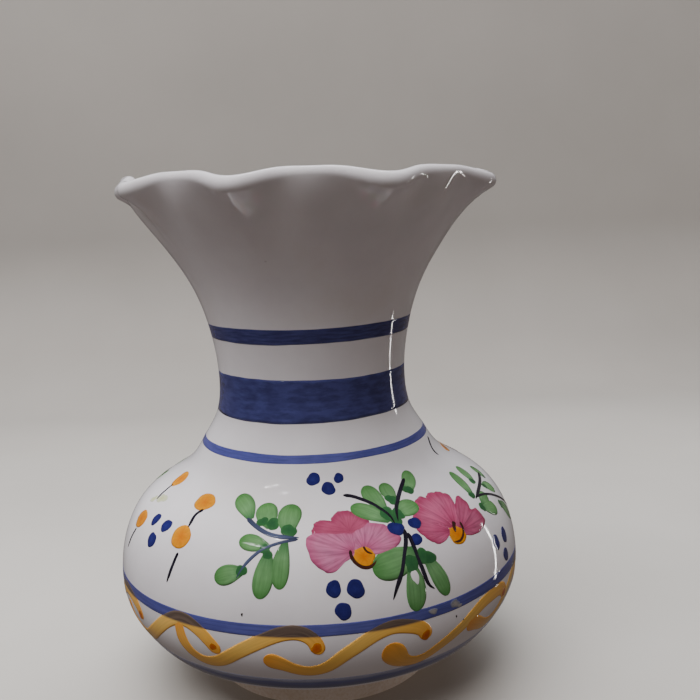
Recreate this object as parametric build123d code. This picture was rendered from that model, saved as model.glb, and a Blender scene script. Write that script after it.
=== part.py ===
from build123d import *
import math
import os

# A tin-glazed earthenware vase with a painted belly, a waisted neck and a crimped trumpet mouth.
# Millimetres, +Z up. The origin is the centre of the foot, on the surface it stands on.
# Azimuths are in degrees from the front (-Y) towards +X.

os.makedirs("parts", exist_ok=True)

# Driving dimensions
GLAZE = 0.35            # thickness of the white glaze coat
PAINT = 0.2             # thickness of a painted colour on the glaze
WALL_BELLY = 5.6        # clay wall in the belly
WALL_NECK = 4.4         # clay wall in the neck and trumpet
FLOOR_TOP = 19.0        # height of the clay floor inside
FLOOR_EDGE = 30.0       # height where the inside turns from the floor into the wall
FLOOR_SHAPE = [(0.0, 0.0), (0.42, 0.03), (0.76, 0.22)]  # the floor, as shares of the way out and up to there
FOOT_HEIGHT = 12.5      # bare foot ring, below the glaze
FOOT_OUTER = 45.0       # outer radius the vase stands on
FOOT_SPREAD = 1.6       # the foot is this much wider where it meets the bowl
FOOT_INNER = 38.0       # inner radius of the standing ring
FOOT_BEVEL = 0.8        # bevel of the standing ring's edges
WIDEST = 46.0           # height of the belly's widest line
NECK_ROOT = 89.0        # height where the shoulder turns into the neck
TRUMPET = 136.0         # height where the neck opens into the trumpet
FLARE = 166.0           # height where the waves of the mouth begin
WAVES = 8               # waves of the crimped lip
WAVE_START = 10.1       # where the waves are counted from
WAVE_DRIFT = -77.0      # hand crimping: the waves run this far out of step, in degrees of one wave
DRIFT_START = 120.0     # azimuth where they are in step
LIP_RADIUS = 69.4       # mean radius of the lip's centre line
LIP_SWING = (-2.5, 1.0)     # first and second waves of that radius
LIP_HEIGHT = 197.0      # mean height of the lip's centre line
LIP_LIFT = (1.5, -0.4)  # first and second waves of that height
LIP_LEAN = -0.65        # the lip stands this much lower on the right (+X) and higher on the left
LIP_ROUND = 2.8         # mean radius of the rounded lip
LIP_ROUND_SWING = -0.3  # the lip is thicker where it leans outward
LIP_TILT = 52.0         # mean direction of the wall at the lip, above the horizontal
LIP_TILT_SWING = 26.0   # steeper where the lip leans inward
FLARE_PULL = (1.3, 0.8)     # how long the flare keeps to the trumpet's slope, and to the lip's

# Outside of the glaze as (radius, height), from the foot up into the flare
OUTLINE = [(44.5, 12.0), (55.0, 14.8), (64.0, 17.2), (69.9, 21.0), (74.6, 26.5), (80.1, 37.2), (81.1, 46.0),
           (78.9, 60.4), (71.4, 73.6), (60.0, 81.6), (50.6, 88.6), (45.0, 97.0), (39.6, 106.5),
           (37.7, 117.5), (39.2, 136.0), (46.9, 160.0), (54.8, 173.0)]

# Painted bands: node name and its lower and upper heights
BANDS = {"mouth_band": (138.3, 143.9), "waist_band": (108.6, 124.6),
         "neck_root_band": (95.5, 98.0), "belly_band": (45.7, 50.0), "foot_band": (21.0, 27.2)}

# How finely the mouth is shaped
RING_POINTS = 12 * WAVES                    # round each ring
FLARE_STEPS = (0.0, 0.25, 0.5, 0.75, 1.0)   # rings up the flare
LIP_TURNS = (-90, -45, 0, 45, 90)           # rings over the lip, from its outer side over the top to its inner
SECTION_STEPS = 48                          # along an inset curve
BEYOND = 120.0                              # a radius outside everything


UPRIGHT = (Align.CENTER, Align.CENTER, Align.MIN)


def section(points):
    """A smooth curve in the XZ plane through (radius, height) points."""
    return Edge.make_spline([Vector(r, 0, z) for r, z in points])


def wall(z):
    """Clay wall thickness at a height."""
    blend = min(1.0, max(0.0, (z - WIDEST) / (NECK_ROOT - WIDEST)))
    return WALL_BELLY + (WALL_NECK - WALL_BELLY) * blend


def inset(curve, depth, above=0.0):
    """(radius, height) points of a curve moved in along its normal by depth(height)."""
    points = []
    for i in range(SECTION_STEPS + 1):
        p = curve.position_at(i / SECTION_STEPS)
        t = curve.tangent_at(i / SECTION_STEPS)
        if p.Z >= above:
            points.append((p.X - depth(p.Z) * t.Z, p.Z + depth(p.Z) * t.X))
    return points


def inside(thickness):
    """The cavity's curve for a wall of clay plus this much more, from the axis upwards."""
    rise = inset(OUTSIDE, lambda z: wall(z) + GLAZE + thickness, above=FLOOR_EDGE)
    floor = FLOOR_TOP + GLAZE + thickness
    r_edge, z_edge = rise[0]
    return section([(out * r_edge, floor + up * (z_edge - floor)) for out, up in FLOOR_SHAPE] + rise)


def radius_at(curve, height):
    """Radius of a rising curve at a height."""
    low, high = 0.0, 1.0
    for _ in range(60):
        middle = (low + high) / 2
        if curve.position_at(middle).Z < height:
            low = middle
        else:
            high = middle
    return curve.position_at(low).X


def turned(curve, low, high):
    """The solid of revolution under a rising curve, between two heights."""
    start, end = curve.position_at(0), curve.position_at(1)
    outline = Wire([curve, Edge.make_line(end, Vector(0, 0, end.Z)),
                    Edge.make_line(Vector(0, 0, end.Z), Vector(0, 0, start.Z))]
                   + ([Edge.make_line(Vector(0, 0, start.Z), start)] if start.X > 1e-6 else []))
    return revolve(Face(outline), axis=Axis.Z) & slab(low, high)


def slab(low, high):
    """Everything between two heights."""
    return Pos(0, 0, low) * Cylinder(BEYOND, high - low, align=UPRIGHT)


OUTSIDE = section(OUTLINE)
CLAY_OUTSIDE = section(inset(OUTSIDE, lambda z: GLAZE))
CLAY_INSIDE = inside(0.0)
INSIDE = inside(GLAZE)
PAINTED_OUTSIDE = section(inset(OUTSIDE, lambda z: -PAINT))


def lip(azimuth, skin):
    """Centre, roundness and direction of the lip at an azimuth, for a surface this far under the glaze."""
    drift = WAVE_DRIFT * math.sin(math.radians(azimuth - DRIFT_START))
    wave = math.radians(WAVES * (azimuth - WAVE_START) + drift)
    radius = LIP_RADIUS + LIP_SWING[0] * math.cos(wave) + LIP_SWING[1] * math.cos(2 * wave)
    height = LIP_HEIGHT + LIP_LIFT[0] * math.cos(wave) + LIP_LIFT[1] * math.cos(2 * wave)
    height += LIP_LEAN * math.sin(math.radians(azimuth))
    roundness = LIP_ROUND + LIP_ROUND_SWING * math.cos(wave) - skin
    tilt = math.radians(LIP_TILT + LIP_TILT_SWING * math.cos(wave))
    return radius, height, roundness, tilt


def lip_side(azimuth, skin, turn):
    """(radius, height) on the rounded lip, turned from its outer side (-90) over the top to the inner (90)."""
    radius, height, roundness, tilt = lip(azimuth, skin)
    return (radius + roundness * math.cos(tilt + math.radians(turn)),
            height + roundness * math.sin(tilt + math.radians(turn)))


def flare(azimuth, skin, start, slope, side, t):
    """(radius, height) on the flare, from its circle (t = 0) to a side of the lip (t = 1)."""
    end = lip_side(azimuth, skin, side)
    tilt = lip(azimuth, skin)[3]
    reach = math.dist(start, end)
    leave = (FLARE_PULL[0] * reach * slope[0], FLARE_PULL[0] * reach * slope[1])
    arrive = (FLARE_PULL[1] * reach * math.cos(tilt), FLARE_PULL[1] * reach * math.sin(tilt))
    a, b, c, d = 2 * t**3 - 3 * t**2 + 1, t**3 - 2 * t**2 + t, 3 * t**2 - 2 * t**3, t**3 - t**2
    return tuple(a * start[i] + b * leave[i] + c * end[i] + d * arrive[i] for i in range(2))


def ring(place):
    """A closed curve through the points that place(azimuth) gives, in even steps all round."""
    points = []
    for i in range(RING_POINTS):
        azimuth = 360 * i / RING_POINTS
        radius, height = place(azimuth)
        angle = math.radians(azimuth)
        points.append(Vector(radius * math.sin(angle), -radius * math.cos(angle), height))
    steps = [i / RING_POINTS for i in range(RING_POINTS + 1)]
    return Wire([Edge.make_spline(points, periodic=True, parameters=steps)])


def start_of(curve):
    """Point and unit slope of a section curve at the start of the flare."""
    low, high = radius_at(curve, FLARE - 0.5), radius_at(curve, FLARE + 0.5)
    length = math.hypot(high - low, 1)
    return (radius_at(curve, FLARE), FLARE), ((high - low) / length, 1 / length)


def mouth_surface(skin, outer, inner):
    """First ring, last ring and faces: up the outside of the flare, over the lip and down the inside."""
    out_start, out_slope = start_of(outer)
    in_start, in_slope = start_of(inner)
    over = [ring(lambda a, turn=turn: lip_side(a, skin, turn)) for turn in LIP_TURNS]
    up = [ring(lambda a, t=t: flare(a, skin, out_start, out_slope, -90, t)) for t in FLARE_STEPS[:-1]]
    down = [ring(lambda a, t=t: flare(a, skin, in_start, in_slope, 90, t)) for t in reversed(FLARE_STEPS[:-1])]
    faces = []
    for rings in (up + over[:1], over, over[-1:] + down):
        faces += Shell.make_loft(rings).faces()
    return up[0], down[-1], faces


def closed(*faces):
    """The solid that these faces enclose."""
    solid = Solid(Shell(Face.sew_faces(faces)[0]))
    return solid if solid.volume > 0 else solid.fix()


def band(low, high):
    """A painted ring that lies on the glaze between two heights."""
    return paint_skin & slab(low, high)


def cavity(curve):
    """The hollow inside a rising curve, up to the flare."""
    return turned(curve, 0, FLARE)


# Clay: the body up to the flare, cut into the sections it is built from, and the crimped mouth
foot_ring = Cone(FOOT_OUTER, FOOT_OUTER + FOOT_SPREAD, FOOT_HEIGHT, align=UPRIGHT)
foot_ring -= Cylinder(FOOT_INNER, FOOT_HEIGHT, align=UPRIGHT)
foot_ring = chamfer(foot_ring.edges().group_by(Axis.Z)[0], FOOT_BEVEL)
clay = turned(CLAY_OUTSIDE, FOOT_HEIGHT, FLARE) - cavity(CLAY_INSIDE)
glazed_out, glazed_in, glazed_faces = mouth_surface(0.0, OUTSIDE, INSIDE)
clay_out, clay_in, clay_faces = mouth_surface(GLAZE, CLAY_OUTSIDE, CLAY_INSIDE)
parts = {
    "foot_ring": foot_ring,
    "lower_bowl": clay & slab(FOOT_HEIGHT, WIDEST),
    "shoulder": clay & slab(WIDEST, NECK_ROOT),
    "neck": clay & slab(NECK_ROOT, TRUMPET),
    "trumpet": clay & slab(TRUMPET, FLARE),
    "crimped_mouth": closed(*clay_faces, Face(clay_out, [clay_in])),
}

# The white glaze: poured inside, dipped outside, and over the lip
parts["outside_glaze"] = turned(OUTSIDE, FOOT_HEIGHT, FLARE) - turned(CLAY_OUTSIDE, FOOT_HEIGHT, FLARE)
parts["inside_glaze"] = cavity(CLAY_INSIDE) - cavity(INSIDE)
parts["lip_glaze"] = closed(*clay_faces, *glazed_faces, Face(glazed_out, [clay_out]),
                            Face(clay_in, [glazed_in]))

# Painted bands
paint_skin = turned(PAINTED_OUTSIDE, FOOT_HEIGHT, FLARE) - turned(OUTSIDE, FOOT_HEIGHT, FLARE)
for name, (low, high) in BANDS.items():
    parts[name] = band(low, high)

for name, shape in parts.items():
    export_step(shape, f"parts/{name}.step")
    print(name, round(shape.volume, 2), shape.is_valid, len(shape.solids()))
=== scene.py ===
import math
import random

import bmesh
import bpy
import numpy as np
from mathutils import Matrix, Vector


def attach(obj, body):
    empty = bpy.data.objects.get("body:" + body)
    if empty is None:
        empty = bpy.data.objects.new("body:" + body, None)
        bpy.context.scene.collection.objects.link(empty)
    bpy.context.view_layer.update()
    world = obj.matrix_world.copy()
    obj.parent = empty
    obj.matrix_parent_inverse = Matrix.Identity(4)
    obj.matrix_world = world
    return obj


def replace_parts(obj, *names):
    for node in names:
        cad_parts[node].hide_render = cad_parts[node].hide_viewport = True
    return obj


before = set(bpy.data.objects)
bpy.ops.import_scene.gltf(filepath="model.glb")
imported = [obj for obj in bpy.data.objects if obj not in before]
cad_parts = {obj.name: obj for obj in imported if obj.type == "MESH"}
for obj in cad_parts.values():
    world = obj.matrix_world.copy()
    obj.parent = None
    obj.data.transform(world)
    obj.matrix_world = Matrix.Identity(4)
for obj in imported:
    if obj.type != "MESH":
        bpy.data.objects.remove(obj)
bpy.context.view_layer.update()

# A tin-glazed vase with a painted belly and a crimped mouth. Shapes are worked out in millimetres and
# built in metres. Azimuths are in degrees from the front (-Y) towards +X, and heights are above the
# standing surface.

MM = 0.001
rng = random.Random(12)

# ---------------------------------------------------------------- the form, as in the CAD model
# Radius and height of the glazed outside, from the foot ring up to the trumpet
OUTLINE = [(44.5, 12.0), (55.0, 14.8), (64.0, 17.2), (69.9, 21.0), (74.6, 26.5), (80.1, 37.2), (81.1, 46.0),
           (78.9, 60.4), (71.4, 73.6), (60.0, 81.6), (50.6, 88.6), (45.0, 97.0), (39.6, 106.5),
           (37.7, 117.5), (39.2, 136.0), (46.9, 160.0), (54.8, 173.0)]
GLAZE = 0.35
WALL_BELLY, WALL_NECK = 5.6, 4.4
FLOOR_TOP, FLOOR_EDGE = 19.0, 30.0
# The inside floor: share of the radius and share of the rise, out to where the wall starts
FLOOR_SHAPE = [(0.0, 0.006), (0.06, 0.036), (0.17, 0.064), (0.28, 0.058), (0.42, 0.044), (0.60, 0.078),
               (0.76, 0.228)]
FOOT_HEIGHT, WIDEST, NECK_ROOT, FLARE = 12.5, 46.0, 89.0, 166.0
# The wavy lip. A pair holds the swing with the wave and with twice the wave.
WAVES, WAVE_START, WAVE_DRIFT, DRIFT_START = 8, 10.1, -77.0, 120.0
LIP_RADIUS, LIP_SWING = 69.4, (-2.5, 1.0)
LIP_HEIGHT, LIP_LIFT, LIP_LEAN = 197.0, (1.5, -0.4), -0.65
LIP_ROUND, LIP_ROUND_SWING = 2.8, -0.3
LIP_TILT, LIP_TILT_SWING = 52.0, 26.0
# How strongly the flare keeps its direction where it leaves the trumpet and where it meets the lip
FLARE_PULL = (1.3, 0.8)
# Blue bands: lowest and highest point
BANDS = {"mouth_band": (138.3, 143.9), "waist_band": (108.6, 124.6),
         "neck_root_band": (95.5, 98.0), "belly_band": (45.7, 50.0), "foot_band": (21.0, 27.2)}
# Samples along a curve that is looked up by height: on the outside, on a curve of the flare or inside, and
# the last of those, where every height occurs only once
FINE_SAMPLES, CURVE_SAMPLES, UPPER_SAMPLES = 4000, 3000, 900
WALL_SAMPLES = 40


class Curve:
    """A smooth curve through (radius, height) points, by distance along it."""

    def __init__(self, points):
        p = np.array(points, float)
        self.t = np.concatenate([[0], np.cumsum(np.hypot(*np.diff(p, axis=0).T))])
        h = np.diff(self.t)
        n = len(p)
        system, right = np.eye(n), np.zeros((n, 2))
        for i in range(1, n - 1):
            system[i, i - 1:i + 2] = h[i - 1], 2 * (h[i - 1] + h[i]), h[i]
            right[i] = 6 * ((p[i + 1] - p[i]) / h[i] - (p[i] - p[i - 1]) / h[i - 1])
        self.p, self.h, self.m = p, h, np.linalg.solve(system, right)
        self.length = self.t[-1]

    def at(self, s):
        """Points and unit tangents at distances s."""
        s = np.atleast_1d(np.asarray(s, float))
        i = np.clip(np.searchsorted(self.t, s, side="right") - 1, 0, len(self.h) - 1)
        h = self.h[i][:, None]
        a, b = (self.t[i + 1] - s)[:, None], (s - self.t[i])[:, None]
        m0, m1, p0, p1 = self.m[i], self.m[i + 1], self.p[i], self.p[i + 1]
        point = (m0 * a**3 + m1 * b**3) / (6 * h) + (p0 / h - m0 * h / 6) * a + (p1 / h - m1 * h / 6) * b
        slope = (m1 * b**2 - m0 * a**2) / (2 * h) - (p0 / h - m0 * h / 6) + (p1 / h - m1 * h / 6)
        return point, slope / np.linalg.norm(slope, axis=1)[:, None]


OUTSIDE = Curve(OUTLINE)
FINE = np.linspace(0, OUTSIDE.length, FINE_SAMPLES)
FINE_POINTS, FINE_TANGENTS = OUTSIDE.at(FINE)


def distance_at(height):
    """Distance along the outside at a height."""
    return float(np.interp(height, FINE_POINTS[:, 1], FINE))


def inside_curve():
    """The glazed inside, from the middle of the floor up past the start of the flare."""
    s = np.linspace(distance_at(FLOOR_EDGE), OUTSIDE.length, WALL_SAMPLES)
    point, tangent = OUTSIDE.at(s)
    blend = np.clip((point[:, 1] - WIDEST) / (NECK_ROOT - WIDEST), 0, 1)
    depth = WALL_BELLY + (WALL_NECK - WALL_BELLY) * blend + 2 * GLAZE
    rise = np.stack([point[:, 0] - depth * tangent[:, 1], point[:, 1] + depth * tangent[:, 0]], 1)
    floor = FLOOR_TOP + 2 * GLAZE
    r, z = rise[0]
    return Curve([(out * r, floor + up * (z - floor)) for out, up in FLOOR_SHAPE] + rise.tolist())


INSIDE = inside_curve()


def lip(azimuth):
    """Radius, height, roundness and tilt of the lip at azimuths in radians."""
    drift = math.radians(WAVE_DRIFT) * np.sin(azimuth - math.radians(DRIFT_START))
    wave = WAVES * (azimuth - math.radians(WAVE_START)) + drift
    lean = LIP_LEAN * np.sin(azimuth)
    return (LIP_RADIUS + LIP_SWING[0] * np.cos(wave) + LIP_SWING[1] * np.cos(2 * wave),
            LIP_HEIGHT + LIP_LIFT[0] * np.cos(wave) + LIP_LIFT[1] * np.cos(2 * wave) + lean,
            LIP_ROUND + LIP_ROUND_SWING * np.cos(wave),
            np.radians(LIP_TILT + LIP_TILT_SWING * np.cos(wave)))


def lip_side(azimuth, turn):
    """(radius, height) on the rounded lip, from its outer side (-90) over the top to its inner side (90)."""
    radius, height, roundness, tilt = lip(azimuth)
    return (radius + roundness * np.cos(tilt + math.radians(turn)),
            height + roundness * np.sin(tilt + math.radians(turn)))


def flare(azimuth, curve, side, t):
    """(radius, height) on the flare, from its circle (t = 0) to a side of the lip (t = 1).

    It is a cubic with given ends and end directions: a, b, c and d are its four weights at t.
    """
    points, tangents = curve.at(np.linspace(0, curve.length, CURVE_SAMPLES))
    points, tangents = points[-UPPER_SAMPLES:], tangents[-UPPER_SAMPLES:]
    start = np.array([np.interp(FLARE, points[:, 1], points[:, 0]), FLARE])
    slope = np.array([np.interp(FLARE, points[:, 1], tangents[:, i]) for i in range(2)])
    end = np.array(lip_side(azimuth, side))
    tilt = lip(azimuth)[3]
    reach = np.hypot(end[0] - start[0], end[1] - start[1])
    a, b, c, d = 2 * t**3 - 3 * t**2 + 1, t**3 - 2 * t**2 + t, 3 * t**2 - 2 * t**3, t**3 - t**2
    leave = (FLARE_PULL[0] * reach * slope[0], FLARE_PULL[0] * reach * slope[1])
    arrive = (FLARE_PULL[1] * reach * np.cos(tilt), FLARE_PULL[1] * reach * np.sin(tilt))
    return tuple(a * start[i] + b * leave[i] + c * end[i] + d * arrive[i] for i in range(2))


def ring_point(azimuth, radius, height):
    """Metres from azimuth in radians and millimetres."""
    x, y = radius * np.sin(azimuth), -radius * np.cos(azimuth)
    return np.stack([x, y, height * np.ones_like(azimuth)], -1) * MM


# ---------------------------------------------------------------- materials
def srgb(r, g, b):
    """Linear colour from 0-255 screen values."""
    def linear(v):
        return v / 255 / 12.92 if v / 255 <= 0.04045 else ((v / 255 + 0.055) / 1.055) ** 2.4
    return (linear(r), linear(g), linear(b), 1.0)


class Nodes:
    """A material's node tree, with short calls for the nodes used here."""

    def __init__(self, name, roughness=0.08, ior=1.5):
        self.material = bpy.data.materials.new(name)
        self.material.use_nodes = True
        self.tree = self.material.node_tree
        self.shader = self.tree.nodes["Principled BSDF"]
        self.shader.inputs["Roughness"].default_value = roughness
        self.shader.inputs["IOR"].default_value = ior
        self.coords = self.tree.nodes.new("ShaderNodeTexCoord")

    def join(self, value, socket):
        """Links an output, or sets a constant."""
        if isinstance(value, bpy.types.NodeSocket):
            self.tree.links.new(value, socket)
        else:
            socket.default_value = value

    def stretch(self, source, scale):
        """Texture coordinates, scaled along each axis."""
        node = self.tree.nodes.new("ShaderNodeMapping")
        self.join(self.coords.outputs[source], node.inputs["Vector"])
        node.inputs["Scale"].default_value = scale
        return node.outputs["Vector"]

    def noise(self, vector, scale, detail=4.0, rough=0.55):
        node = self.tree.nodes.new("ShaderNodeTexNoise")
        self.join(vector, node.inputs["Vector"])
        node.inputs["Scale"].default_value = scale
        node.inputs["Detail"].default_value = detail
        node.inputs["Roughness"].default_value = rough
        return node.outputs["Fac"]

    def spots(self, vector, scale):
        """Distance from the nearest of many scattered points."""
        node = self.tree.nodes.new("ShaderNodeTexVoronoi")
        self.join(vector, node.inputs["Vector"])
        node.inputs["Scale"].default_value = scale
        return node.outputs["Distance"]

    def ramp(self, factor, *stops):
        """Colours or greys between positions: (position, value), ..."""
        node = self.tree.nodes.new("ShaderNodeValToRGB")
        self.join(factor, node.inputs["Fac"])
        elements = node.color_ramp.elements
        while len(elements) < len(stops):
            elements.new(0.5)
        for element, (position, value) in zip(elements, stops):
            element.position = position
            element.color = value if isinstance(value, tuple) else (value, value, value, 1)
        return node.outputs["Color"]

    def mix(self, factor, a, b, how="MIX"):
        node = self.tree.nodes.new("ShaderNodeMix")
        node.data_type, node.blend_type = "RGBA", how
        self.join(factor, node.inputs["Factor"])
        self.join(a, node.inputs[6])
        self.join(b, node.inputs[7])
        return node.outputs[2]

    def bump(self, height, strength, distance):
        node = self.tree.nodes.new("ShaderNodeBump")
        self.join(height, node.inputs["Height"])
        node.inputs["Strength"].default_value = strength
        node.inputs["Distance"].default_value = distance
        self.join(node.outputs["Normal"], self.shader.inputs["Normal"])

    def rim(self, which):
        """0: how near the edge of its mark a point is. 1: a number of its own for each mark."""
        node = self.tree.nodes.new("ShaderNodeUVMap")
        node.uv_map = "rim"
        split = self.tree.nodes.new("ShaderNodeSeparateXYZ")
        self.join(node.outputs["UV"], split.inputs["Vector"])
        return split.outputs[which]

    def axis(self, source, which):
        """One of the three texture coordinates."""
        node = self.tree.nodes.new("ShaderNodeSeparateXYZ")
        self.join(self.coords.outputs[source], node.inputs["Vector"])
        return node.outputs[which]

    def colour(self, value):
        self.join(value, self.shader.inputs["Base Color"])

    def gloss(self, value):
        self.join(value, self.shader.inputs["Roughness"])


def glaze_material():
    """White tin glaze: milky, very slightly uneven, with a few pinholes and specks."""
    m = Nodes("tin_glaze", roughness=0.07)
    cloud = m.noise(m.coords.outputs["Object"], 22.0, 5.0)
    tone = m.ramp(cloud, (0.30, srgb(228, 223, 225)), (0.55, srgb(238, 234, 235)),
                  (0.75, srgb(233, 227, 224)))
    speck = m.ramp(m.spots(m.coords.outputs["Object"], 95.0), (0.035, 1.0), (0.06, 0.0))
    rare = m.ramp(m.noise(m.coords.outputs["Object"], 37.0, 1.0), (0.66, 0.0), (0.69, 1.0))
    both = m.mix(1.0, speck, rare, "MULTIPLY")
    m.colour(m.mix(both, tone, srgb(96, 84, 74)))
    m.gloss(m.ramp(m.noise(m.coords.outputs["Object"], 60.0, 3.0), (0.3, 0.05), (0.8, 0.10)))
    m.bump(m.noise(m.coords.outputs["Object"], 130.0, 2.0), 0.10, 0.0004)
    return m.material


def clay_material():
    """Bare cream earthenware, matt and finely grained, with turning lines."""
    m = Nodes("bare_clay", roughness=0.85)
    grain = m.noise(m.coords.outputs["Object"], 900.0, 4.0)
    patch = m.noise(m.coords.outputs["Object"], 45.0, 4.0)
    base = m.ramp(patch, (0.3, srgb(240, 226, 208)), (0.55, srgb(247, 236, 222)), (0.8, srgb(241, 226, 206)))
    dust = m.ramp(grain, (0.35, srgb(232, 218, 200)), (0.6, srgb(255, 255, 255)))
    m.colour(m.mix(0.45, base, dust, "MULTIPLY"))
    lines = m.noise(m.stretch("Object", (8, 8, 900)), 1.0, 2.0)
    m.bump(m.mix(0.5, lines, grain), 0.3, 0.0002)
    return m.material


def paint_material(name, stops, streak, depth, dark=(20, 20, 30), pooled=0.5, marks=True):
    """A brushed colour.

    stops hold a place along the stroke and its colour. streak stretches the brush's streaks along and across
    the stroke, and depth is how dark they get. Paint gathers into the colour dark in clouds and, where the
    piece has separate marks, by the share pooled at the edge of each mark.
    """
    m = Nodes(name, roughness=0.08)
    dark = srgb(*dark)
    base = m.ramp(m.axis("UV", 0), *[(place, srgb(*colour)) for place, *colour in stops])
    hairs = m.noise(m.stretch("UV", (streak[0], streak[1], 1)), 1.0, 3.0, 0.6)
    colour = m.mix(1.0, base, m.ramp(hairs, (0.34, 1.0 - depth), (0.60, 1.0)), "MULTIPLY")
    cloud = m.noise(m.coords.outputs["Object"], 160.0, 3.0)
    colour = m.mix(m.ramp(cloud, (0.42, 0.0), (0.8, 0.45)), colour, dark)
    if marks:
        colour = m.mix(m.ramp(m.rim(0), (0.62, 0.0), (0.92, pooled)), colour, dark)
        colour = m.mix(1.0, colour, m.ramp(m.rim(1), (0.0, 0.86), (1.0, 1.0)), "MULTIPLY")
    m.colour(colour)
    m.bump(hairs, 0.06, 0.0001)
    return m.material


# Paints by the name used below: the arguments of paint_material
PAINTS = {
    "cobalt": ("cobalt", [(0.0, 92, 96, 164), (0.35, 106, 110, 176), (0.7, 82, 86, 156), (1.0, 92, 96, 164)],
               (14.0, 6.0), 0.28, (62, 68, 130), 0.0, False),
    "dark_cobalt": ("dark_cobalt",
                    [(0.0, 76, 80, 138), (0.4, 86, 90, 152), (0.7, 70, 74, 130), (1.0, 76, 80, 138)],
                    (16.0, 7.0), 0.42, (46, 48, 92), 0.0, False),
    "leaf": ("leaf_green",
             [(0.0, 66, 118, 72), (0.35, 120, 170, 112), (0.8, 106, 160, 96), (1.0, 78, 140, 68)],
             (1.2, 9.0), 0.24, (62, 116, 56), 0.4),
    "pool": ("leaf_pool", [(0.0, 46, 98, 60), (0.8, 54, 110, 62), (1.0, 74, 132, 76)],
             (1.0, 4.0), 0.15, (34, 78, 46), 0.1),
    "petal": ("petal_pink",
              [(0.0, 172, 76, 112), (0.3, 210, 118, 158), (0.8, 218, 136, 172), (1.0, 208, 118, 156)],
              (1.2, 30.0), 0.40, (178, 60, 108), 0.35),
    "petal_rose": ("petal_rose",
                   [(0.0, 152, 52, 82), (0.3, 200, 92, 130), (0.8, 210, 112, 146), (1.0, 192, 82, 118)],
                   (1.2, 30.0), 0.42, (158, 40, 84), 0.45),
    "petal_back": ("petal_magenta", [(0.0, 176, 78, 108), (0.7, 192, 92, 124), (1.0, 182, 76, 110)],
                   (1.2, 24.0), 0.30, (150, 46, 84), 0.4),
    "orange": ("orange", [(0.0, 222, 120, 8), (0.55, 232, 146, 14), (1.0, 236, 160, 30)],
               (1.5, 6.0), 0.14, (206, 98, 6), 0.0),
    "ember": ("ember", [(0.0, 206, 92, 4), (0.6, 216, 112, 6), (1.0, 226, 142, 10)],
              (1.5, 6.0), 0.12, (186, 84, 22), 0.0),
    "dot": ("dot_blue", [(0.0, 42, 46, 124), (0.6, 34, 36, 108), (1.0, 48, 52, 130)],
            (1.0, 3.0), 0.2, (16, 16, 70), 0.45),
    "stem": ("stem_black", [(0.0, 30, 26, 40), (0.5, 44, 40, 56), (1.0, 30, 26, 36)], (3.0, 5.0), 0.3),
    "stem_grey": ("stem_grey", [(0.0, 60, 66, 92), (0.6, 88, 98, 128), (1.0, 66, 76, 104)],
                  (3.0, 5.0), 0.25, (44, 50, 76)),
    "brown": ("heart_brown", [(0.0, 64, 36, 28), (1.0, 92, 50, 34)], (2.0, 4.0), 0.3),
    "smear": ("faint_green", [(0.0, 212, 214, 160), (1.0, 224, 226, 196)],
              (2.0, 5.0), 0.06, (204, 208, 168), 0.0),
    "worn": ("worn_glaze", [(0.0, 178, 172, 164), (0.6, 158, 156, 162), (1.0, 112, 120, 164)],
             (2.0, 5.0), 0.25, (140, 132, 112), 0.0),
    "speck": ("speck", [(0.0, 40, 36, 36), (1.0, 64, 58, 56)], (2.0, 5.0), 0.2),
}
MATERIALS = {"tin_glaze": glaze_material(), "bare_clay": clay_material()}
for paint, choice in PAINTS.items():
    MATERIALS[paint] = paint_material(*choice)


def scroll_material():
    """Ochre brushed over white, and brown where it crosses the blue belly band."""
    m = Nodes("ochre", roughness=0.08)
    height = m.axis("Object", 2)
    base = m.ramp(m.axis("UV", 0), (0.0, srgb(250, 168, 64)), (0.12, srgb(255, 190, 84)),
                  (0.55, srgb(255, 206, 104)), (0.9, srgb(255, 192, 84)), (1.0, srgb(250, 172, 62)))
    hairs = m.noise(m.stretch("UV", (3.0, 5.0, 1)), 1.0, 3.0, 0.6)
    colour = m.mix(1.0, base, m.ramp(hairs, (0.3, 0.86), (0.62, 1.0)), "MULTIPLY")
    colour = m.mix(m.ramp(m.rim(0), (0.6, 0.0), (0.95, 0.35)), colour, srgb(248, 168, 60))
    over = m.tree.nodes.new("ShaderNodeMapRange")
    m.join(height, over.inputs["Value"])
    low = BANDS["belly_band"][0] * MM
    half_blend = 0.0004
    over.inputs["From Min"].default_value = low - half_blend
    over.inputs["From Max"].default_value = low + half_blend
    brown = m.ramp(hairs, (0.3, srgb(84, 70, 64)), (0.65, srgb(112, 96, 84)))
    m.colour(m.mix(over.outputs["Result"], colour, brown))
    m.bump(hairs, 0.06, 0.0001)
    return m.material


def foot_band_material():
    """Blue that fades out into the white above it."""
    m = Nodes("foot_blue", roughness=0.08)
    hairs = m.noise(m.stretch("UV", (14.0, 5.0, 1)), 1.0, 3.0, 0.6)
    waver = m.noise(m.stretch("UV", (20.0, 1.0, 1)), 1.0, 2.0)
    push = m.tree.nodes.new("ShaderNodeMath")
    push.operation = "MULTIPLY_ADD"
    m.join(waver, push.inputs[0])
    push.inputs[1].default_value = 0.25
    m.join(m.rim(0), push.inputs[2])
    fade = m.ramp(push.outputs[0], (0.0, srgb(50, 56, 108)), (0.45, srgb(60, 68, 126)),
                  (0.8, srgb(94, 102, 160)), (1.0, srgb(170, 174, 200)))
    m.colour(m.mix(1.0, fade, m.ramp(hairs, (0.3, 0.85), (0.6, 1.0)), "MULTIPLY"))
    m.bump(hairs, 0.06, 0.0001)
    return m.material


MATERIALS["foot_blue"] = foot_band_material()
MATERIALS["ochre"] = scroll_material()


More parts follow.
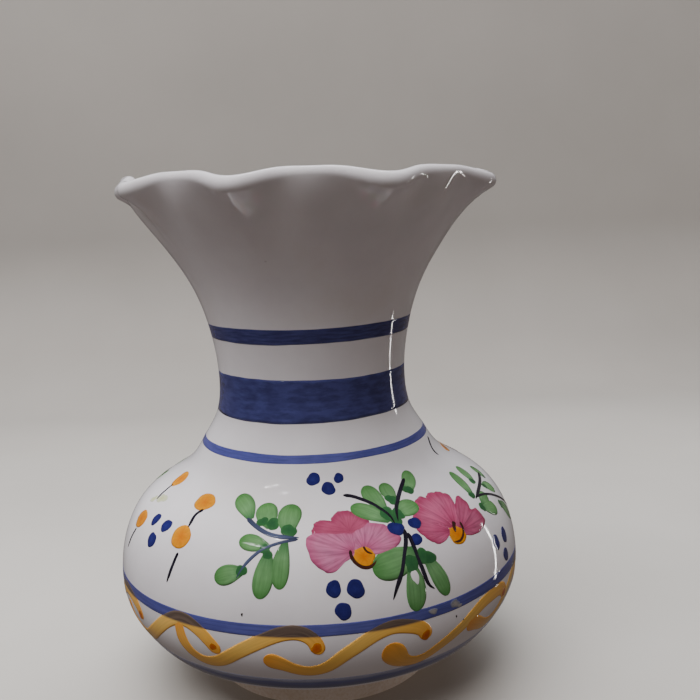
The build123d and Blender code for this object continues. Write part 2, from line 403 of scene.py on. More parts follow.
# ---------------------------------------------------------------- mesh helpers
def make_object(name, vertices, faces, material, slot, uvs=None, rims=None):
    """A mesh object that rides on the vase."""
    mesh = bpy.data.meshes.new(name)
    mesh.from_pydata([tuple(v) for v in vertices], [], faces)
    mesh.materials.append(MATERIALS[material])
    if uvs is not None:
        index = np.empty(len(mesh.loops), int)
        mesh.loops.foreach_get("vertex_index", index)
        for layer_name, values in (("brush", uvs), ("rim", rims)):
            layer = mesh.uv_layers.new(name=layer_name)
            layer.data.foreach_set("uv", np.asarray(values, float)[index].ravel())
    for polygon in mesh.polygons:
        polygon.use_smooth = True
    mesh.update()
    piece = bpy.data.objects.new(name, mesh)
    bpy.context.scene.collection.objects.link(piece)
    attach(piece, "root")
    return piece


def on_surface(azimuth, s, lift):
    """Points in metres on the outside, from azimuths in degrees, and distances along it and lifts in mm."""
    azimuth, s, lift = np.broadcast_arrays(*[np.asarray(values, float) for values in (azimuth, s, lift)])
    r = np.interp(s, FINE, FINE_POINTS[:, 0]) + lift * np.interp(s, FINE, FINE_TANGENTS[:, 1])
    z = np.interp(s, FINE, FINE_POINTS[:, 1]) - lift * np.interp(s, FINE, FINE_TANGENTS[:, 0])
    a = np.radians(azimuth)
    return np.stack([r * np.sin(a), -r * np.cos(a), z], -1) * MM


# Paint stands this far above the glaze, and its root is this far inside it. At a mark's edge it loses the
# share THIN of its own height and the share SINK of its layer's lift.
PAINT_TOP, PAINT_ROOT = 0.05, -0.08
THIN, SINK = 0.8, 0.6
# Waves and swing of a petal's ragged edge
RAGGED = ((7, 0.012), (15, 0.006))


class Layer:
    """Brush marks of one colour, gathered into one piece."""

    def __init__(self, name, material, slot, lift=0.0):
        self.name, self.material, self.slot, self.lift = name, material, slot, lift
        self.vertices, self.faces, self.uvs, self.rims = [], [], [], []

    def grid(self, azimuth, s, u, v, edge, closed=False, filled=False):
        """A closed thin mark over a grid of surface coordinates.

        Rows close into a ring if closed, and the first column is a single point if filled. edge is 0 inside
        the mark and 1 at its edge, where the paint thins out.
        """
        rows, columns = azimuth.shape
        base = len(self.vertices)
        lift = PAINT_TOP * (1 - THIN * edge**4) - self.lift * SINK * edge**12
        top = on_surface(azimuth, s, self.lift + lift).reshape(-1, 3)
        bottom = on_surface(azimuth, s, np.full_like(lift, PAINT_ROOT)).reshape(-1, 3)
        self.vertices += top.tolist() + bottom.tolist()
        uv = np.stack([u, v], -1).reshape(-1, 2).tolist()
        self.uvs += uv + uv
        rim = np.stack([edge, np.full(edge.shape, rng.random())], -1).reshape(-1, 2).tolist()
        self.rims += rim + rim
        under = rows * columns

        def at(i, j, level=0):
            return base + level * under + (i % rows) * columns + j
        last = rows if closed else rows - 1
        for i in range(last):
            for j in range(columns - 1):
                self.faces.append((at(i, j), at(i, j + 1), at(i + 1, j + 1), at(i + 1, j)))
                self.faces.append((at(i, j, 1), at(i + 1, j, 1), at(i + 1, j + 1, 1), at(i, j + 1, 1)))
            if not filled:
                self.faces.append((at(i, 0, 1), at(i, 0), at(i + 1, 0), at(i + 1, 0, 1)))
            j = columns - 1
            self.faces.append((at(i, j), at(i, j, 1), at(i + 1, j, 1), at(i + 1, j)))
        if not closed:
            for j in range(columns - 1):
                self.faces.append((at(0, j, 1), at(0, j + 1, 1), at(0, j + 1), at(0, j)))
                i = rows - 1
                self.faces.append((at(i, j), at(i, j + 1), at(i, j + 1, 1), at(i, j, 1)))

    def stroke(self, path, width, shape, rows=40, columns=9):
        """A brush stroke through (azimuth, height) points. shape(u) is its share of the full width."""
        turns = np.array([p[0] for p in path], float)
        s = np.array([distance_at(p[1]) for p in path])
        radius = float(np.interp(s.mean(), FINE, FINE_POINTS[:, 0]))
        line = Curve(np.stack([np.radians(turns) * radius, s], 1))
        u = 0.5 - 0.5 * np.cos(np.linspace(0, math.pi, rows))
        point, tangent = line.at(u * line.length)
        v = np.linspace(-1, 1, columns)
        half = np.array([shape(t) for t in u]) * width / 2
        x = point[:, :1] - tangent[:, 1:] * half[:, None] * v
        y = point[:, 1:] + tangent[:, :1] * half[:, None] * v
        local = np.interp(y, FINE, FINE_POINTS[:, 0])
        middle = np.interp(point[:, 1], FINE, FINE_POINTS[:, 0])[:, None]
        azimuth = np.degrees(point[:, :1] / radius + (x - point[:, :1]) / (0.5 * (local + middle)))
        edge = np.clip(1 - half[:, None] * (1 - np.abs(v))[None] / (0.5 * width), 0, 1)
        seed = rng.uniform(0, 9)
        self.grid(azimuth, y, np.repeat(u[:, None], columns, 1), seed + np.repeat(v[None] / 2, rows, 0), edge)

    def blob(self, azimuth, height, outline, rings=8, steps=48, squash=1.0):
        """A filled shape round a centre. outline(angle) is its reach in mm, and u runs outward."""
        angle = np.linspace(0, 2 * math.pi, steps, endpoint=False)
        reach = np.array([outline(a) for a in angle])
        share = np.linspace(0, 1, rings)
        x = reach[:, None] * share * np.cos(angle)[:, None]
        y = reach[:, None] * share * np.sin(angle)[:, None] * squash
        s = distance_at(height) + y
        local = np.interp(s, FINE, FINE_POINTS[:, 0])
        seed = rng.uniform(0, 9)
        u = np.repeat(share[None], steps, 0)
        v = seed + np.repeat(np.abs(angle / math.pi - 1)[:, None], rings, 1)
        self.grid(azimuth + np.degrees(x / local), s, u, v, u, closed=True, filled=True)

    def patch(self, azimuth, height, heart, outline, rings=12, steps=128):
        """A petal: a smooth closed outline in mm round (azimuth, height), filled outward from its heart."""
        points = smooth_loop(outline, steps)
        share = np.linspace(0.0, 1, rings)[None]
        heart = np.array(heart, float)
        turn = np.linspace(0, 2 * math.pi, steps, endpoint=False)
        ragged = 1.0
        for waves, swing in RAGGED:
            ragged = ragged + swing * np.sin(waves * turn + rng.uniform(0, 6))
        points = heart + (points - heart) * ragged[:, None]
        x = heart[0] + (points[:, :1] - heart[0]) * share
        y = heart[1] + (points[:, 1:] - heart[1]) * share
        s = distance_at(height) + y
        local = np.interp(s, FINE, FINE_POINTS[:, 0])
        angle = np.unwrap(np.arctan2(points[:, 1] - heart[1], points[:, 0] - heart[0]))
        seed = rng.uniform(0, 9)
        v = seed + np.repeat((angle / math.pi)[:, None], rings, 1)
        u = np.repeat(share, steps, 0)
        self.grid(azimuth + np.degrees(x / local), s, u, v, u, closed=True, filled=True)

    def finish(self):
        """Makes the piece from the marks gathered so far."""
        shape = (self.vertices, self.faces)
        piece = make_object(self.name, *shape, self.material, self.slot, self.uvs, self.rims)
        clean(piece.data)
        return piece


def clean(mesh):
    """Merges coinciding points and turns every face outward."""
    bm = bmesh.new()
    bm.from_mesh(mesh)
    bmesh.ops.remove_doubles(bm, verts=bm.verts, dist=1e-6)
    bmesh.ops.dissolve_degenerate(bm, edges=bm.edges, dist=1e-7)
    bmesh.ops.recalc_face_normals(bm, faces=bm.faces)
    bm.to_mesh(mesh)
    bm.free()


def smooth_loop(points, steps):
    """Points along a closed smooth curve through a few corner points."""
    p = np.array(points, float)
    n = len(p)
    out = []
    for k in range(steps):
        t = k * n / steps
        i, f = int(t) % n, t - int(t)
        a, b, c, d = p[(i - 1) % n], p[i], p[(i + 1) % n], p[(i + 2) % n]
        square, cube = 2 * a - 5 * b + 4 * c - d, 3 * b - a - 3 * c + d
        out.append(0.5 * (2 * b + (c - a) * f + square * f**2 + cube * f**3))
    return np.array(out)


# ---------------------------------------------------------------- the glaze
# Points round the coat, and rows of them on each of its stretches
GLAZE_STEPS = 256
OUTSIDE_ROWS, FLARE_ROWS, LIP_ROWS, INNER_FLARE_ROWS, INSIDE_ROWS = 84, 24, 13, 20, 48
# Points round a band and across it, how far its edges waver in mm, and the waves that this is made of
BAND_STEPS, BAND_COLUMNS = 288, 13
BAND_WAVER = 0.22
BAND_WAVES = (1, 2, 3, 5, 7, 11, 17, 26)


def build_glaze():
    """The whole white coat: a skin outside, over the lip and down inside, thickened inward."""
    steps = GLAZE_STEPS
    azimuth = np.linspace(0, 2 * math.pi, steps, endpoint=False)
    rows = []
    for s in np.linspace(distance_at(FOOT_HEIGHT), distance_at(FLARE), OUTSIDE_ROWS):
        point = OUTSIDE.at(s)[0][0]
        rows.append(ring_point(azimuth, point[0] * np.ones(steps), point[1]))
    for t in np.linspace(0, 1, FLARE_ROWS)[1:]:
        rows.append(ring_point(azimuth, *flare(azimuth, OUTSIDE, -90, t)))
    for turn in np.linspace(-90, 90, LIP_ROWS)[1:]:
        rows.append(ring_point(azimuth, *lip_side(azimuth, turn)))
    for t in np.linspace(1, 0, INNER_FLARE_ROWS)[1:]:
        rows.append(ring_point(azimuth, *flare(azimuth, INSIDE, 90, t)))
    points = INSIDE.at(np.linspace(0, INSIDE.length, CURVE_SAMPLES))[0]
    top = int(np.searchsorted(points[:, 1], FLARE))
    for index in np.linspace(top, 0, INSIDE_ROWS).astype(int)[1:-1]:
        rows.append(ring_point(azimuth, points[index, 0] * np.ones(steps), points[index, 1]))
    vertices = np.concatenate(rows).tolist() + [(0, 0, points[0, 1] * MM)]
    faces = []
    for i in range(len(rows) - 1):
        for j in range(steps):
            k = (j + 1) % steps
            faces.append((i * steps + j, i * steps + k, (i + 1) * steps + k, (i + 1) * steps + j))
    last, centre = (len(rows) - 1) * steps, len(vertices) - 1
    faces += [(last + j, last + (j + 1) % steps, centre) for j in range(steps)]
    piece = make_object("glaze_coat", vertices, faces, "tin_glaze", "tin_glaze")
    solid = piece.modifiers.new("coat", "SOLIDIFY")
    solid.thickness = GLAZE * MM
    solid.offset = -1
    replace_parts(piece, "outside_glaze", "inside_glaze", "lip_glaze")


def build_band(name, low, high):
    """A brushed ring with edges that waver a little."""
    slot = "dark_cobalt" if name in ("mouth_band", "waist_band") else "cobalt"
    layer = Layer(name, "foot_blue" if name == "foot_band" else slot, slot)
    angle = np.linspace(0, 2 * math.pi, BAND_STEPS, endpoint=False)

    def waver():
        out = np.zeros(BAND_STEPS)
        for k in BAND_WAVES:
            out += BAND_WAVER / k**0.6 * math.sin(rng.uniform(0, 6)) * np.cos(k * angle + rng.uniform(0, 6.3))
        return out
    s_low = distance_at(low) + waver()
    s_high = distance_at(high) + waver()
    v = np.linspace(0, 1, BAND_COLUMNS)
    s = s_low[:, None] + (s_high - s_low)[:, None] * v
    azimuth = np.repeat(np.degrees(angle)[:, None], BAND_COLUMNS, 1)
    u = np.abs(azimuth / 180 - 1)
    across = np.repeat(v[None], BAND_STEPS, 0)
    layer.grid(azimuth, s, u, across + rng.uniform(0, 5), across, closed=True)
    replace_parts(layer.finish(), name)


build_glaze()
for band_name, (band_low, band_high) in BANDS.items():
    build_band(band_name, band_low, band_high)

for node_name in ("foot_ring", "lower_bowl", "shoulder", "neck", "trumpet", "crimped_mouth"):
    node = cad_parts[node_name]
    node.data.materials.clear()
    node.data.materials.append(MATERIALS["bare_clay"])


# ---------------------------------------------------------------- the painted decoration
def leaf_shape(u):
    """Narrow where the brush leaves, round where it was pressed down."""
    narrow, swell, widest = 0.32, 0.68, 0.6
    if u < widest:
        return narrow + swell * math.sin(u / widest * math.pi / 2)
    return math.sqrt(max(0.0, 1 - ((u - widest) / (1 - widest)) ** 2.2))


def line_shape(u):
    """A thin line that starts blunt and ends in a point."""
    blunt, tapered = 0.06, 0.25
    return min(1.0, math.sqrt(u / blunt), math.sqrt(max(0.0, 1 - u) / tapered))


def swelled(radius, width, length):
    """A stroke of even width, with round ends, that starts with a dab of a larger radius."""
    def shape(u):
        along, half = u * length, width / 2
        if along < radius:
            start = math.sqrt(radius**2 - (radius - along) ** 2)
        else:
            start = half + (radius - half) * math.exp(-((along - radius) / (1.2 * radius)) ** 2)
        end = min(1.0, (length - along) / half)
        return start / half * math.sqrt(max(0.0, 1 - (1 - end) ** 2))
    return shape


def round_blob(radius, rough=0.07):
    """A slightly uneven round dab."""
    phase = [rng.uniform(0, 6.3) for _ in range(3)]
    return lambda a: radius * (1 + rough * (math.cos(2 * a + phase[0]) + 0.6 * math.cos(3 * a + phase[1])
                                            + 0.3 * math.cos(5 * a + phase[2])))


def away(azimuth, height, direction, length):
    """(azimuth, height) at a distance in mm from a point on the outside, in a direction in degrees."""
    s = distance_at(height) + length * math.sin(math.radians(direction))
    z = float(np.interp(s, FINE, FINE_POINTS[:, 1]))
    r = float(np.interp(s, FINE, FINE_POINTS[:, 0]))
    return azimuth + math.degrees(length * math.cos(math.radians(direction)) / r), z


# Leaves: azimuth and height of the narrow end, direction, length and width
LEAVES = [(-22.4, 79.9, 132, 13, 7), (-15, 78.2, 112, 11.5, 8), (-8.9, 76.8, 91, 13, 8.5),
          (-14.5, 73.7, 170, 11, 6.5), (-14.2, 72.5, -98, 16, 7.2), (-9.8, 74.9, -94, 16, 6.4),
          (-20.2, 66.6, -161, 11.5, 6.8),
          (35.3, 83.0, 55, 10.5, 6), (27, 81.7, 90, 9, 6), (22, 79.9, 103, 13, 7.2), (21.7, 77.7, 142, 14, 7),
          (24.6, 78.8, 12, 11, 7.5), (26.5, 68.6, -170, 18.5, 10.5), (23.6, 65.6, -92, 16.5, 7.8),
          (27.8, 66.8, -66, 17, 6.4),
          (68.5, 78.0, 60, 10, 5.5), (59, 76, 68, 14, 5.5), (80, 75.5, 60, 8, 5.5), (71.5, 75.7, -35, 9, 6),
          (58.5, 72.6, -24, 12, 6.5), (60, 72.7, 15, 9, 5.5), (72, 68.5, -42, 14, 6.5)]
# Dark pools where two strokes meet: azimuth, height, radius
POOLS = [(-18.0, 79.6, 2.2), (-14.8, 79.2, 2.6), (-9.3, 77.8, 2.8), (-15.5, 73.3, 1.9), (-14.4, 71.6, 1.9),
         (-21.0, 66.5, 2.1), (35.6, 83.6, 2.2), (26.6, 82.4, 2.4), (22.0, 79.4, 3.2), (24.0, 77.8, 2.6),
         (25.8, 79.0, 2.4), (23.6, 65.4, 3.2), (27.4, 66.6, 2.6), (29.2, 65.6, 2.6), (68.6, 78.4, 1.8),
         (59.2, 76.4, 1.8), (71.8, 75.4, 1.5), (58.8, 72.4, 1.8), (72.4, 68.2, 1.6)]
# Stems: width and the route
STEMS = [(1.7, [(-23.8, 80.1), (-18.5, 77.9), (-14.2, 76.6), (-9.8, 76.1), (-6, 76)]),
         (1.2, [(-6.2, 75.6), (-9.7, 75.1), (-13.1, 74.2), (-15.9, 72.9), (-18.5, 70.6), (-20.4, 67.9),
                (-22.1, 64)]),
         (1.5, [(9.4, 85.3), (12.6, 84.8), (15.9, 83.7), (18.8, 82.4), (20.7, 81), (22.6, 78.9),
                (22.9, 76.6)]),
         (1.6, [(37.7, 86.6), (32.7, 84.2), (28.6, 81.9), (25.9, 79.8), (24.3, 77.1)]),
         (1.6, [(25, 75.1), (24, 72.1), (22.3, 68.4), (20.8, 64.2), (18.6, 59.1), (17.2, 55.2)]),
         (1.6, [(25.5, 74), (25.7, 69.6), (25.9, 66.3), (26.6, 61.4), (27.6, 57.1), (28.9, 55.5)]),
         (1.5, [(81.2, 77.5), (73.5, 76.9), (61.7, 75.6), (59.1, 75.1)]),
         (1.3, [(60.2, 75.5), (65.3, 74.6), (71.8, 71.9), (79, 67.1), (84.9, 62.2)]),
         (1.3, [(75.6, 94), (71.4, 91.6), (70.2, 89.4), (71.1, 87.6)]),
         (1.4, [(-42.2, 80.3), (-43.7, 78.8), (-43.3, 77.1), (-42.9, 75.5)]),
         (1.3, [(-42.1, 68.3), (-42.8, 63.8), (-43.8, 58.1)]),
         (1.1, [(-72.3, 81.9), (-71.7, 79.7), (-70.4, 77.5)]),
         (1.1, [(-68.6, 68.1), (-69.8, 64.2), (-70.4, 60.2)])]
GREY_ROUTES = [route for _, route in STEMS[:2]]
# Blue dots: azimuth, height, radius
DOTS = [(-1.7, 90.4, 2.5), (9, 90.2, 1.9), (4.2, 87.4, 2.6),
        (2.7, 61.2, 2.7), (8.1, 60.6, 3.1), (4.7, 53.9, 2.9),
        (22.7, 75.7, 3.0), (29.2, 75.9, 2.5), (27.3, 71.7, 2.2),
        (63.4, 60, 2.8), (56.7, 60.3, 2.8), (61.2, 53.5, 2.6),
        (-59.5, 74.1, 2.5), (-52.3, 74, 2.7), (-55.6, 68.6, 2.8)]
# Orange buds: azimuth, height, half width, half height. The lone one sits at the right edge of the front.
BUDS = [(-44.4, 81.9, 5.1, 3.8), (-43.6, 72.8, 4.6, 4.6), (-71.7, 83.7, 4.2, 4.0), (-68.9, 71.4, 4.6, 3.8)]
LONE_BUD = (92.0, 85.5, 4.5, 2.4)
# Faint smears of green: azimuth, height, radius
SMEARS = [(-67.5, 78.5, 3.2), (-72.5, 77.0, 2.2)]
# The orange heart of each flower: radius and how much flatter than round
HEART_RADIUS, HEART_SQUASH = 4.1, 0.9
# Where the back of each flower is filled outward from
BACK_HEART = (-3, 10)
# The two flowers, in mm round each one's place: outlines of the petals behind and in front, where each front
# petal is filled outward from, and the width and route of the brown lines
FLOWERS = [
    {"at": (11.3, 69.8),
     "back": [[(-15.5, 12), (-13.5, 15), (-9.6, 15.2), (-6.2, 13), (-6.5, 9), (-15.5, 9)],
              [(-8.4, 15), (-5.6, 18.5), (-2, 18.7), (1, 17), (4.5, 13.5), (3, 9), (-6, 9)]],
     "front": [[(-3.5, 0.5), (-7.5, -1.5), (-10.5, -4), (-14, -3.8), (-17.5, -0.5), (-19, 6), (-16, 10),
                (-11, 10.8), (-2, 9), (-3.5, 3.5)],
               [(0, 1), (-3.4, 3.6), (-2.5, 10), (1, 12), (5.2, 12.2), (9.8, 10.2), (14.4, 4.6), (11.8, 1.2),
                (5.6, 0)]],
     "hearts": [(-3, 2), (0.5, 2)],
     "arcs": [(1.3, [(-4.5, 2.8), (-4.3, 0.3), (-2.5, -2.4), (0, -3.7), (2.7, -3.1), (4, -1.8)]),
              (0.9, [(0.4, 3.4), (1.2, 1.6), (3.1, 0.5)])]},
    {"at": (41.3, 69.2),
     "back": [],
     "front": [[(-4, 1.5), (-9, -0.8), (-12.7, 1), (-15.5, 6), (-12, 9.5), (-6, 8)],
               [(-1, 3), (-8, 7), (-13, 9.5), (-12.6, 13), (-8, 15), (-8, 17.6), (-2.5, 18.4), (-0.5, 11)],
               [(-0.5, 3), (-2.5, 12), (-1.5, 18), (2.5, 19), (6.8, 17.4), (9.2, 14), (5, 6)],
               [(1, 2.5), (6, 9), (12.5, 13), (14.8, 9.4), (14.2, 6), (17.7, 4.8), (18.7, -0.5), (13, -2.6),
                (5, -1.8)]],
     "hearts": [(-2, 2), (0, 2.5), (0.5, 3), (2, 1)],
     "arcs": [(1.8, [(1.5, 4.8), (0.2, 3.2), (-0.6, 1.0)]),
              (1.2, [(4.2, 3.8), (4.0, 1.6), (2.6, -0.6), (-0.4, -2.2), (-3.2, -1.8)])]},
]
# Ochre border. Four hands of the same stroke: how far round from its place it starts, the radius of the dab
# it starts with, its route as (degrees on from the start, height), and the radius of its end dot
SCROLL_WIDTH = 5.3
# Length of a stroke in mm, which the size of its first dab and its round ends go by
SCROLL_LENGTH = 62.0
# An end dot sits this share of the last step back along the route, at this share of its radius
END_BACK, END_SIZE = 0.45, 0.85
SCROLLS = {
    "A": (0.0, 3.4, [(-2.2, 37.6), (0.4, 36), (2.4, 34.9), (5, 33.1), (8.7, 31.9), (12.8, 33.2), (16.8, 37.3),
                     (21, 41.2), (25.4, 44.6), (29.6, 46), (34.2, 44.9), (38, 42), (39.2, 38.2)], 2.3),
    "B": (1.7, 4.5, [(-1.4, 39.4), (0.6, 35.6), (3, 31.6), (6, 29.6), (9.8, 29.4), (13.6, 31.8), (18.6, 35.5),
                     (23.8, 39.2), (29.2, 42.5), (35.6, 43.4), (40.6, 42), (42.8, 38.2)], 2.2),
    "C": (1.7, 2.3, [(0, 45.9), (0.3, 41.4), (1.9, 35.6), (5.5, 32.2), (10, 32.8), (15.4, 37.2), (20.4, 41.6),
                     (25, 45), (29.2, 47.1), (33.4, 47.1), (36.2, 44.6), (37.6, 39.2)], 2.4),
    "D": (2.4, 2.6, [(0, 42), (1, 37), (4, 33), (9, 32), (14, 35.5), (18.8, 40.5), (23.8, 45.4), (28.4, 47.2),
                     (32.2, 45.7), (35.6, 42.3), (38.8, 37)], 1.8),
}
# The hands in order round the vase, and the azimuth where the first one starts
SCROLL_ORDER = "ABACDBACBDADC"
SCROLL_FIRST = -13.0
# Flaws of this vase: worn spots in the belly band and dark specks, as azimuth, height and radius
WORN = [(27.8, 47.9, 1.7), (34.8, 47.8, 2.3), (36.2, 46.6, 1.3)]
SPECKS = [(-20.0, 52.8, 0.45), (38.2, 39.6, 0.9), (39.2, 40.4, 0.6), (35.2, 42.9, 0.4)]
# A place on a leaf where the brush left the glaze bare: azimuth, height, half width, half height
BARE = (23.9, 61.0, 1.5, 2.6)


# The pieces, with the paint of each and how far it is lifted off the glaze in mm, so that crossing marks
# don't coincide
LAYERS = {
    "petals_magenta": ("petal_back", 0.0),
    "petals_pink": ("petal", 0.02),
    "petals_rose": ("petal_rose", 0.02),
    "leaves": ("leaf", 0.04),
    "leaf_pools": ("pool", 0.06),
    "orange_buds": ("orange", 0.05),
    "blue_dots": ("dot", 0.07),
    "stems": ("stem", 0.09),
    "stems_grey": ("stem_grey", 0.08),
    "heart_lines": ("brown", 0.08),
    "faint_smears": ("smear", 0.0),
    "scroll_border": ("ochre", 0.05),
    "scroll_ends": ("ember", 0.09),
    "worn_spots": ("worn", 0.07),
    "bare_spot": ("tin_glaze", 0.09),
    "specks": ("speck", 0.02),
}


def paint_leaves(layers, turn):
    """Leaves bent a little at random, and the dark pools at their narrow ends."""
    for azimuth, height, direction, length, width in LEAVES:
        tip = away(azimuth, height, direction, length)
        bend = away(azimuth, height, direction + rng.uniform(-8, 8), length * 0.5)
        route = [(azimuth + turn, height), (bend[0] + turn, bend[1]), (tip[0] + turn, tip[1])]
        layers["leaves"].stroke(route, width, leaf_shape, 28, 11)
    for azimuth, height, radius in POOLS:
        layers["leaf_pools"].blob(azimuth + turn, height, round_blob(radius, 0.12))


def paint_flower(layers, front, flower, turn):
    """Petals, heart and brown lines of one flower, its front petals on a layer of their own."""
    azimuth, height = flower["at"]
    azimuth += turn
    for outline in flower["back"]:
        layers["petals_magenta"].patch(azimuth, height, BACK_HEART, outline)
    for outline, heart in zip(flower["front"], flower["hearts"]):
        layers[front].patch(azimuth, height, heart, outline)
    layers["orange_buds"].blob(azimuth, height, round_blob(HEART_RADIUS, 0.06), squash=HEART_SQUASH)
    s = distance_at(height)
    r = float(np.interp(s, FINE, FINE_POINTS[:, 0]))
    for width, route in flower["arcs"]:
        heights = np.interp([s + y for _, y in route], FINE, FINE_POINTS[:, 1])
        path = [(azimuth + math.degrees(x / r), float(z)) for (x, _), z in zip(route, heights)]
        layers["heart_lines"].stroke(path, width, line_shape, 30, 7)


def paint_spray(layers, turn):
    """Everything on one side of the belly, turned round the vase."""
    paint_leaves(layers, turn)
    for width, route in STEMS:
        layer = layers["stems_grey" if route in GREY_ROUTES else "stems"]
        layer.stroke([(a + turn, z) for a, z in route], width, line_shape, 40, 7)
    for azimuth, height, radius in DOTS:
        layers["blue_dots"].blob(azimuth + turn, height, round_blob(radius))
    for azimuth, height, half_width, half_height in BUDS + ([LONE_BUD] if turn == 0.0 else []):
        outline = round_blob(half_width, 0.05)
        layers["orange_buds"].blob(azimuth + turn, height, outline, squash=half_height / half_width)
    for flower, front in zip(FLOWERS, ("petals_pink", "petals_rose")):
        paint_flower(layers, front, flower, turn)
    for azimuth, height, radius in SMEARS:
        layers["faint_smears"].blob(azimuth + turn, height, round_blob(radius, 0.2), squash=0.7)


def paint_border(layers):
    """Ochre strokes one after the other round the vase, each with a dot at its end."""
    for k, hand in enumerate(SCROLL_ORDER):
        nudge, dab, route, radius = SCROLLS[hand]
        first = SCROLL_FIRST + 360 * k / len(SCROLL_ORDER) + nudge
        shape = swelled(dab, SCROLL_WIDTH, SCROLL_LENGTH)
        layers["scroll_border"].stroke([(first + a, z) for a, z in route], SCROLL_WIDTH, shape, 90, 11)
        (last, low), (before, high) = route[-1], route[-2]
        azimuth = first + last + END_BACK * (before - last)
        height = low + END_BACK * (high - low)
        layers["scroll_ends"].blob(azimuth, height, round_blob(END_SIZE * radius, 0.1))


def paint_flaws(layers):
    """Worn spots, the spot left bare on a leaf, and specks."""
    for azimuth, height, radius in WORN:
        layers["worn_spots"].blob(azimuth, height, round_blob(radius, 0.16), squash=0.7)
    azimuth, height, half_width, half_height = BARE
    outline = round_blob(half_width, 0.15)
    layers["bare_spot"].blob(azimuth, height, outline, squash=half_height / half_width)
    for azimuth, height, radius in SPECKS:
        layers["specks"].blob(azimuth, height, round_blob(radius, 0.3), 4, 16)


def build_decoration():
    """The sprays on the front and, turned round, on the back, then the border and the flaws."""
    layers = {name: Layer(name, paint, "tin_glaze", lift) for name, (paint, lift) in LAYERS.items()}
    for turn in (0.0, 180.0):
        paint_spray(layers, turn)
    paint_border(layers)
    paint_flaws(layers)
    for layer in layers.values():
        layer.finish()


build_decoration()


# ---------------------------------------------------------------- stage, light and camera
# Metres, with the vase at the origin
FLOOR_FRONT, FLOOR_BACK, FLOOR_HALF_WIDTH = -1.2, 0.62, 2.2
BACKDROP_HEIGHT, BACKDROP_BEND, BEND_STEPS = 1.9, 0.16, 16
# Area lights: place, point aimed at, size, power in watts and colour
MIDDLE = (0, 0, 0.12)
LIGHTS = {
    "ceiling": ((-0.45, -0.50, 1.6), MIDDLE, (1.6, 1.3), 37, (0.98, 0.97, 1.0)),
    "side_window": ((-1.5, 0.5, 0.8), MIDDLE, (0.5, 1.0), 4, (0.94, 0.97, 1.0)),
    "right_strip": ((0.95, 0.33, -0.02), (0, 0, -0.02), (0.016, 0.56), 1.2, (1.0, 0.97, 0.95)),
    "tube_low": ((-0.69, -0.42, 1.37), (-0.02, -0.07, 0.07), (0.35, 0.012), 0.9, (1, 1, 1)),
    "tube_high": ((-0.44, -0.22, 1.51), (-0.01, -0.06, 0.08), (0.16, 0.012), 0.4, (1, 1, 1)),
    "back_panel": ((0.0, 0.57, 1.0), (0, 0, 1.0), (1.3, 1.1), 26, (0.90, 0.94, 1.0)),
    "back_tube": ((0.0, 0.55, 1.25), (0, 0, 0.2), (0.8, 0.06), 2.2, (0.92, 0.95, 1.0)),
}
# Lights that brighten the vase but aren't seen in its glaze
NOT_REFLECTED = ("ceiling", "side_window", "back_panel")
WORLD_COLOUR, WORLD_STRENGTH = (198, 184, 178), 0.22
CAMERA_PLACE = (0.0, -0.3625, 0.188)
# Degrees: turned to the right, tipped down and rolled
CAMERA_YAW, CAMERA_PITCH, CAMERA_ROLL = 2.5, 9.24, 2.33
# Focal length as a share of the picture's width
FOCAL_SHARE = 9 / 7
SENSOR_WIDTH = 36.0


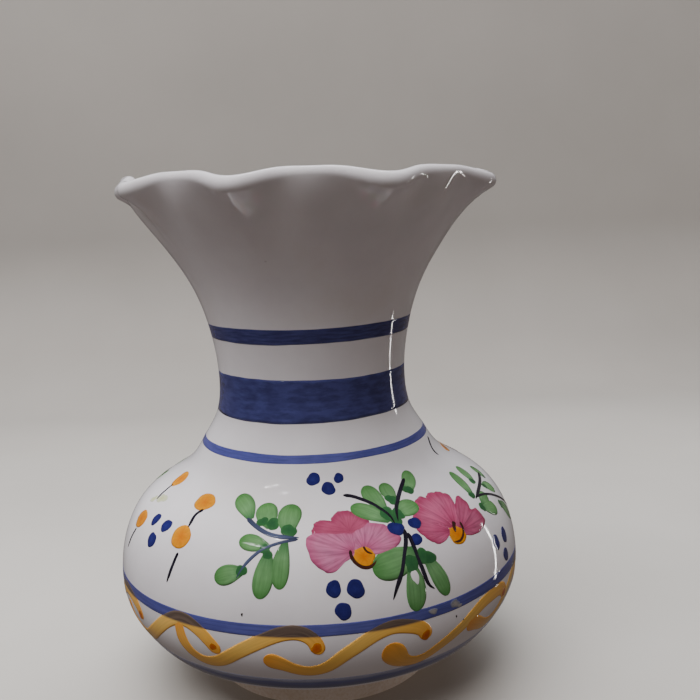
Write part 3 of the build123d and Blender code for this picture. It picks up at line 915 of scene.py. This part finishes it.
def build_stage():
    """A pale floor that curves up into a plain wall behind. It throws no light on the vase."""
    bend = BACKDROP_BEND
    profile = [(FLOOR_FRONT, 0.0)]
    for i in range(BEND_STEPS + 1):
        a = math.radians(90 * i / BEND_STEPS)
        profile.append((FLOOR_BACK - bend + bend * math.sin(a), bend - bend * math.cos(a)))
    profile.append((FLOOR_BACK, BACKDROP_HEIGHT))
    vertices = [(x, y, z) for y, z in profile for x in (-FLOOR_HALF_WIDTH, FLOOR_HALF_WIDTH)]
    faces = [(2 * i, 2 * i + 1, 2 * i + 3, 2 * i + 2) for i in range(len(profile) - 1)]
    mesh = bpy.data.meshes.new("floor")
    mesh.from_pydata(vertices, [], faces)
    for polygon in mesh.polygons:
        polygon.use_smooth = True
    m = Nodes("floor", roughness=0.55)
    cloud = m.noise(m.coords.outputs["Object"], 6.0, 5.0)
    m.colour(m.ramp(cloud, (0.3, srgb(184, 179, 171)), (0.7, srgb(192, 187, 179))))
    m.bump(m.noise(m.coords.outputs["Object"], 300.0, 3.0), 0.08, 0.0004)
    mesh.materials.append(m.material)
    floor = bpy.data.objects.new("floor", mesh)
    bpy.context.scene.collection.objects.link(floor)
    floor.visible_diffuse = False
    floor.visible_glossy = False


def area_light(name, place, aim, size, power, colour):
    """A rectangle of light facing the point it is aimed at."""
    light = bpy.data.lights.new(name, "AREA")
    light.shape = "RECTANGLE"
    light.size, light.size_y = size
    light.energy = power
    light.color = colour
    lamp = bpy.data.objects.new(name, light)
    lamp.location = place
    lamp.rotation_euler = (Vector(aim) - Vector(place)).to_track_quat("-Z", "Y").to_euler()
    bpy.context.scene.collection.objects.link(lamp)
    return lamp


def build_lights():
    """Soft light from above, the side and behind, thin bright lights for the reflections, and a dim room."""
    for name, choice in LIGHTS.items():
        lamp = area_light(name, *choice)
        if name in NOT_REFLECTED:
            lamp.visible_glossy = False
    world = bpy.data.worlds.new("room")
    world.use_nodes = True
    background = world.node_tree.nodes["Background"]
    background.inputs["Color"].default_value = srgb(*WORLD_COLOUR)
    background.inputs["Strength"].default_value = WORLD_STRENGTH
    bpy.context.scene.world = world


def build_camera():
    """In front of the vase, below its lip, looking a little down and to the right, with a slight roll."""
    yaw, pitch, roll = math.radians(CAMERA_YAW), math.radians(CAMERA_PITCH), math.radians(CAMERA_ROLL)
    forward = Vector((math.sin(yaw) * math.cos(pitch), math.cos(yaw) * math.cos(pitch), -math.sin(pitch)))
    right = forward.cross(Vector((0, 0, 1))).normalized()
    up = right.cross(forward)
    rolled_right = right * math.cos(roll) - up * math.sin(roll)
    rolled_up = up * math.cos(roll) + right * math.sin(roll)
    camera = bpy.data.cameras.new("camera")
    camera.sensor_width = SENSOR_WIDTH
    camera.lens = SENSOR_WIDTH * FOCAL_SHARE
    camera.clip_start = 0.01
    viewer = bpy.data.objects.new("camera", camera)
    viewer.matrix_world = Matrix((rolled_right, rolled_up, -forward)).transposed().to_4x4()
    viewer.location = CAMERA_PLACE
    bpy.context.scene.collection.objects.link(viewer)
    bpy.context.scene.camera = viewer


build_stage()
build_lights()
build_camera()
